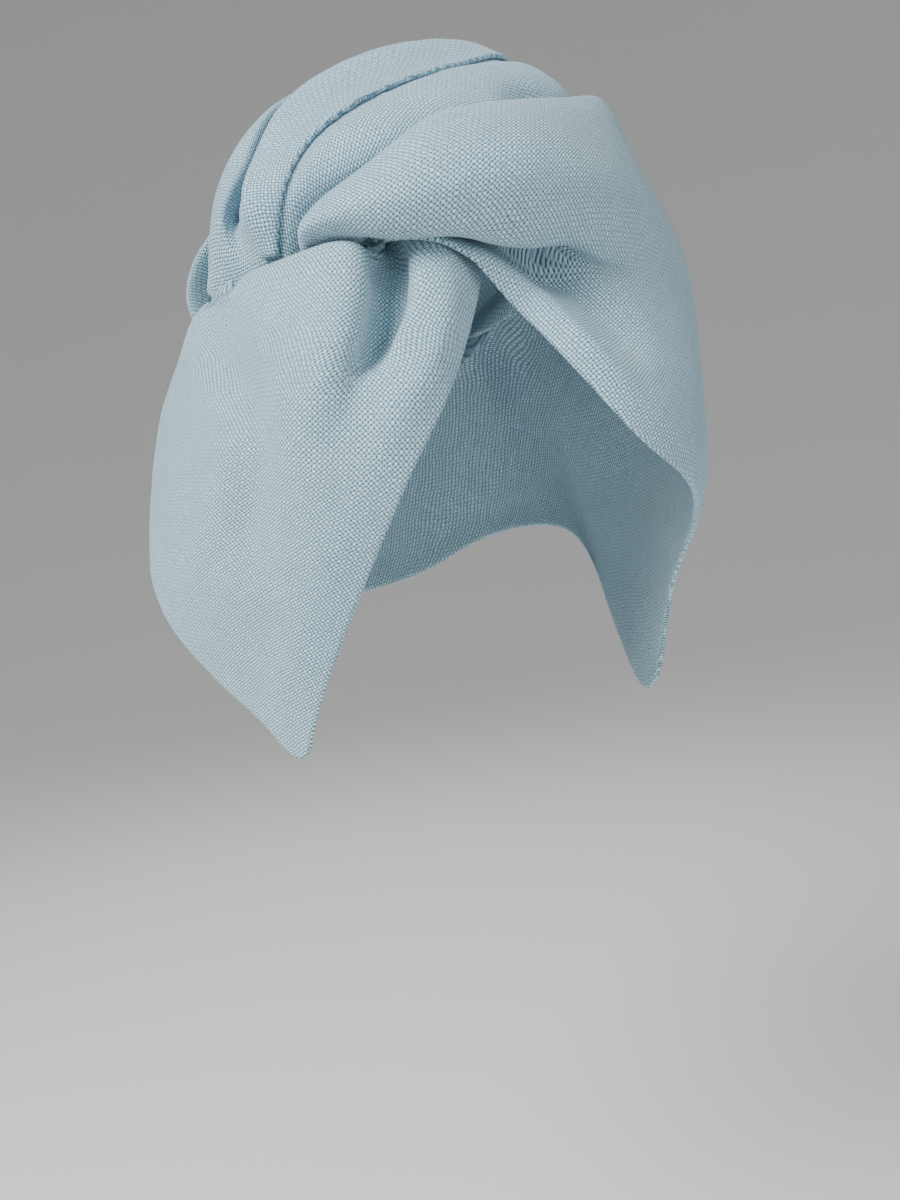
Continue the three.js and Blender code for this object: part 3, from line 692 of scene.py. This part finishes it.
def tube(name, rings, lengths, material, node):
    """A closed body from rings of points, which lie at the lengths in millimetres. The first and
    the last ring are capped."""
    count, around = rings.shape[:2]
    at = np.arange(count * around).reshape(count, around)
    after = np.roll(at, -1, axis=1)
    faces = np.stack([at[:-1], after[:-1], after[1:], at[1:]], -1).reshape(-1, 4).tolist()
    mesh = bpy.data.meshes.new(name)
    mesh.from_pydata(placed(rings.reshape(-1, 3)).tolist(), [],
                     faces + [at[0, ::-1].tolist(), at[-1].tolist()])
    layer = mesh.uv_layers.new(name="cloth")
    for face in mesh.polygons:
        for corner in face.loop_indices:
            vertex = mesh.loops[corner].vertex_index
            length, turn = lengths[vertex // around] / FLAT_UNIT, (vertex % around) / around
            wraps = len(face.vertices) == 4 and turn == 0 and face.index % around == around - 1
            layer.data[corner].uv = (length, 1.0 if wraps else turn)
    mesh.shade_smooth()
    piece = bpy.data.objects.new(name, mesh)
    scene.collection.objects.link(piece)
    return add_piece(piece, [node], material)


def nape_button():
    steps, sides, least_radius = 140, 72, 0.02
    profile = spline(BUTTON_PROFILE, np.linspace(0, len(BUTTON_PROFILE) - 1, steps))
    profile[:, 0] = np.maximum(profile[:, 0], least_radius)
    angle = np.linspace(0, 2 * math.pi, sides, endpoint=False)
    radius, height = profile[:, :1], profile[:, 1:]
    rings = np.stack([radius * np.cos(angle), NAPE_FACE + height + 0 * angle,
                      BUTTON_Z + radius * np.sin(angle)], -1)
    return tube("turned_button", rings[:, ::-1], profile[:, 1], wood(), "nape_button")


def button_loop(radius=1.2, half_width=5.0, bend=4.3, clearance=0.3):
    """A cord that comes down from under the tail's end and goes round the button's shank."""
    steps, sides = 160, 20
    face = NAPE_FACE + clearance + radius
    sewn_end = (half_width, 122.4, 44.0)
    side = [sewn_end, (half_width, face, 32.0), (bend, face, BUTTON_Z),
            (bend * 0.7, face, BUTTON_Z - bend * 0.75)]
    path = [(-x, y, z) for x, y, z in side] + [(0, face, BUTTON_Z - bend)] + side[::-1]
    line = spline(path, np.linspace(0, len(path) - 1, steps))
    ahead = np.gradient(line, axis=0)
    ahead /= np.linalg.norm(ahead, axis=1, keepdims=True)
    out = np.array([0.0, 1.0, 0.0]) - ahead * ahead[:, 1:2]
    out /= np.linalg.norm(out, axis=1, keepdims=True)
    over = np.cross(ahead, out)
    angle = np.linspace(0, 2 * math.pi, sides, endpoint=False)[:, None]
    rings = line[:, None] + radius * (np.cos(angle) * out[:, None] + np.sin(angle) * over[:, None])
    return tube("elastic_loop", rings, lengths_down(line), elastic(), "button_loop")


nape_button()
button_loop()

# ---------------------------------------------------------------- floor and light

FLOOR_HEIGHT = -0.52   # metres
LIGHTS_AIM = (0, 0, -0.04)


def sweep():
    """A floor that sweeps up into a wall all round, so that no edge shows behind the object."""
    inner_radius, flat_radius, rise_radius, height, around, steps = 0.3, 1.6, 3.6, 4.2, 96, 24
    profile = [(inner_radius, 0.0), (flat_radius, 0.0)]
    for a in np.linspace(0, math.pi / 2, steps)[1:]:
        profile.append((flat_radius + rise_radius * math.sin(a), height * (1 - math.cos(a))))
    points = [(0.0, 0.0, FLOOR_HEIGHT)]
    for radius, lift in profile:
        for k in range(around):
            turn = 2 * math.pi * k / around
            points.append((radius * math.cos(turn), radius * math.sin(turn), FLOOR_HEIGHT + lift))
    faces = [(0, 1 + k, 1 + (k + 1) % around) for k in range(around)]
    for ring in range(len(profile) - 1):
        low = 1 + ring * around
        for k in range(around):
            after = (k + 1) % around
            faces.append((low + k, low + around + k, low + around + after, low + after))
    mesh = bpy.data.meshes.new("floor")
    mesh.from_pydata(points, [], faces)
    mesh.shade_smooth()
    mesh.materials.append(plain("floor_paper", (0.84, 0.835, 0.82, 1), 0.9))
    floor = bpy.data.objects.new("floor", mesh)
    scene.collection.objects.link(floor)


def studio():
    world = bpy.data.worlds.new("studio")
    scene.world = world
    world.use_nodes = True
    sky = world.node_tree.nodes["Background"]
    sky.inputs[0].default_value = (0.86, 0.89, 0.93, 1)
    sky.inputs[1].default_value = 0.33
    # Places and sizes are in metres, powers in watts.
    for name, place, size, power, colour in (
            ("key", (-1.1, -0.35, 0.8), 0.7, 41.0, (1.0, 0.99, 0.97)),
            ("fill", (0.2, -1.3, 0.25), 1.0, 8.0, (0.96, 0.98, 1.0)),
            ("rear", (0.6, 1.2, 0.8), 1.0, 8.0, (1.0, 1.0, 1.0))):
        lamp = bpy.data.lights.new(name, "AREA")
        lamp.energy, lamp.size, lamp.color = power, size, colour
        light = bpy.data.objects.new(name, lamp)
        scene.collection.objects.link(light)
        light.location = place
        aim = Vector(LIGHTS_AIM) - Vector(place)
        light.rotation_euler = aim.to_track_quat("-Z", "Y").to_euler()


sweep()
studio()
